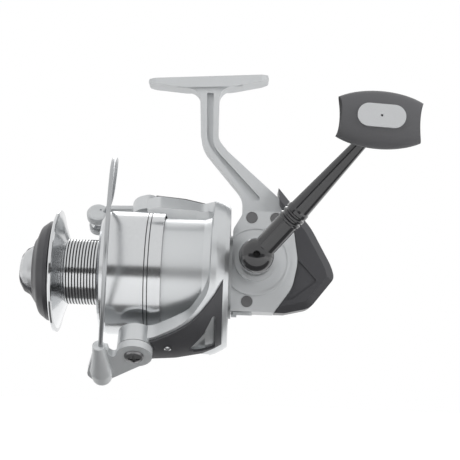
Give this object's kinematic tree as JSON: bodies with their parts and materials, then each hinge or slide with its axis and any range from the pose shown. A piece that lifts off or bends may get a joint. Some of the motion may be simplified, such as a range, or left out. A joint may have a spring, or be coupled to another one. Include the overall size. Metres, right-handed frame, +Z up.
{
  "type": "spinning reel",
  "caption": "Open-face spinning reel with a footed stem, gear housing, rotor with bail and line roller, long skirted spool, drag knob and crank with an oval knob.",
  "frame": {"origin": "centre of the foot's top face, where the reel seats against a rod", "axes": "+X runs along the spool shaft from the spool towards the rear of the body, the handle is on the -Y side, +Z is up from the spool shaft towards the foot"},
  "size_m": [0.2119, 0.1539, 0.1797],
  "materials": {
    "silver_paint": "satin silver paint",
    "dark_plastic": "charcoal, fine grain",
    "black_gloss": "near-black lacquer",
    "polished_alloy": "turned and polished",
    "lip_plating": "bright plated",
    "plate_alloy": "satin",
    "grip_rubber": "soft touch, matt",
    "screw_steel": "blackened in the recess",
    "shaft_steel": "ground",
    "gear_brass": "cut",
    "gear_zinc": "die-cast zinc alloy, bare",
    "washer_felt": "oiled felt",
    "click_plastic": "white acetal"
  },
  "bodies": {
    "frame": {"body_frame": "silver_paint", "side_cover": "silver_paint", "rear_cover": "dark_plastic", "side_cover_screw_1": "screw_steel", "side_cover_screw_2": "screw_steel", "side_cover_screw_3": "screw_steel", "far_side_cap": "dark_plastic", "gear_bearing_near": "shaft_steel", "gear_bearing_far": "shaft_steel", "front_bearing": "shaft_steel", "pinion_bush": "gear_brass", "clutch_housing": "shaft_steel", "clutch_retainer": "shaft_steel", "retainer_screw_1": "screw_steel", "retainer_screw_2": "screw_steel", "retainer_screw_3": "screw_steel", "guide_rod": "shaft_steel", "oscillation_axle": "shaft_steel"},
    "reverse_lever": {"anti_reverse_lever": "silver_paint"},
    "crank": {"drive_gear": "gear_zinc", "handle_shaft": "shaft_steel", "handle_hub": "black_gloss", "handle_arm": "black_gloss", "knob_axle": "shaft_steel"},
    "grip": {"handle_knob": "grip_rubber", "knob_plate": "plate_alloy"},
    "cam": {"oscillation_gear": "gear_zinc"},
    "rotor": {"rotor": "silver_paint", "pinion_gear": "gear_brass", "clutch_sleeve": "shaft_steel", "rotor_nut": "gear_brass", "arm_panel_near": "dark_plastic", "arm_panel_far": "dark_plastic", "panel_screw_near": "screw_steel", "panel_screw_far": "screw_steel", "pivot_screw_near": "screw_steel", "pivot_screw_far": "screw_steel"},
    "bail": {"bail_wire": "shaft_steel", "bail_lever": "silver_paint", "roller_bracket": "silver_paint", "roller_cap": "silver_paint", "roller_pin": "shaft_steel"},
    "roller": {"line_roller": "lip_plating"},
    "shaft": {"main_shaft": "shaft_steel", "click_wheel": "click_plastic", "oscillation_slider": "gear_zinc"},
    "spool": {"spool": "polished_alloy", "spool_lip_ring": "lip_plating", "drag_washer_1": "washer_felt", "drag_washer_2": "washer_felt", "drag_washer_3": "washer_felt", "drag_retaining_ring": "shaft_steel"},
    "drag_knob": {"drag_knob": "dark_plastic", "knob_insert_near": "lip_plating", "knob_insert_far": "lip_plating", "drag_nut": "shaft_steel"}
  },
  "joints": [
    {"name": "crank_turn", "type": "hinge", "parent": "frame", "child": "crank", "pos_m": [0.0304, 0, -0.10585], "axis": [0, 1, 0], "continuous": true},
    {"name": "rotor_spin", "type": "hinge", "parent": "frame", "child": "rotor", "pos_m": [0.0154, 0, -0.11415], "axis": [1, 0, 0], "continuous": true},
    {"name": "cam_spin", "type": "hinge", "parent": "frame", "child": "cam", "pos_m": [0.04816, 0, -0.10585], "axis": [0, 1, 0], "continuous": true},
    {"name": "spool_stroke", "type": "slide", "parent": "frame", "child": "shaft", "axis": [1, 0, 0], "range_m": [0, 0.016]},
    {"name": "spool_spin", "type": "hinge", "parent": "shaft", "child": "spool", "pos_m": [0.0154, 0, -0.11415], "axis": [1, 0, 0], "continuous": true},
    {"name": "drag_adjust", "type": "hinge", "parent": "shaft", "child": "drag_knob", "pos_m": [0.0154, 0, -0.11415], "axis": [1, 0, 0], "continuous": true},
    {"name": "bail_swing", "type": "hinge", "parent": "rotor", "child": "bail", "pos_m": [-0.0333, 0, -0.11415], "axis": [0, -0.5446, -0.8387], "range_deg": [0, 105]},
    {"name": "roller_spin", "type": "hinge", "parent": "bail", "child": "roller", "pos_m": [-0.0632, 0.02396, -0.07725], "axis": [0, 0.8387, -0.5446], "continuous": true},
    {"name": "knob_spin", "type": "hinge", "parent": "crank", "child": "grip", "pos_m": [0.08783, 0, -0.04213], "axis": [0, 1, 0], "continuous": true},
    {"name": "reverse_lever_flick", "type": "hinge", "parent": "frame", "child": "reverse_lever", "pos_m": [0.0224, -0.01, -0.11415], "axis": [0, 0, 1], "range_deg": [0, 18]}
  ],
  "couplings": [
    {"joint": "rotor_spin", "follows": "crank_turn", "ratio": -4.7778},
    {"joint": "cam_spin", "follows": "crank_turn", "ratio": -0.48}
  ]
}
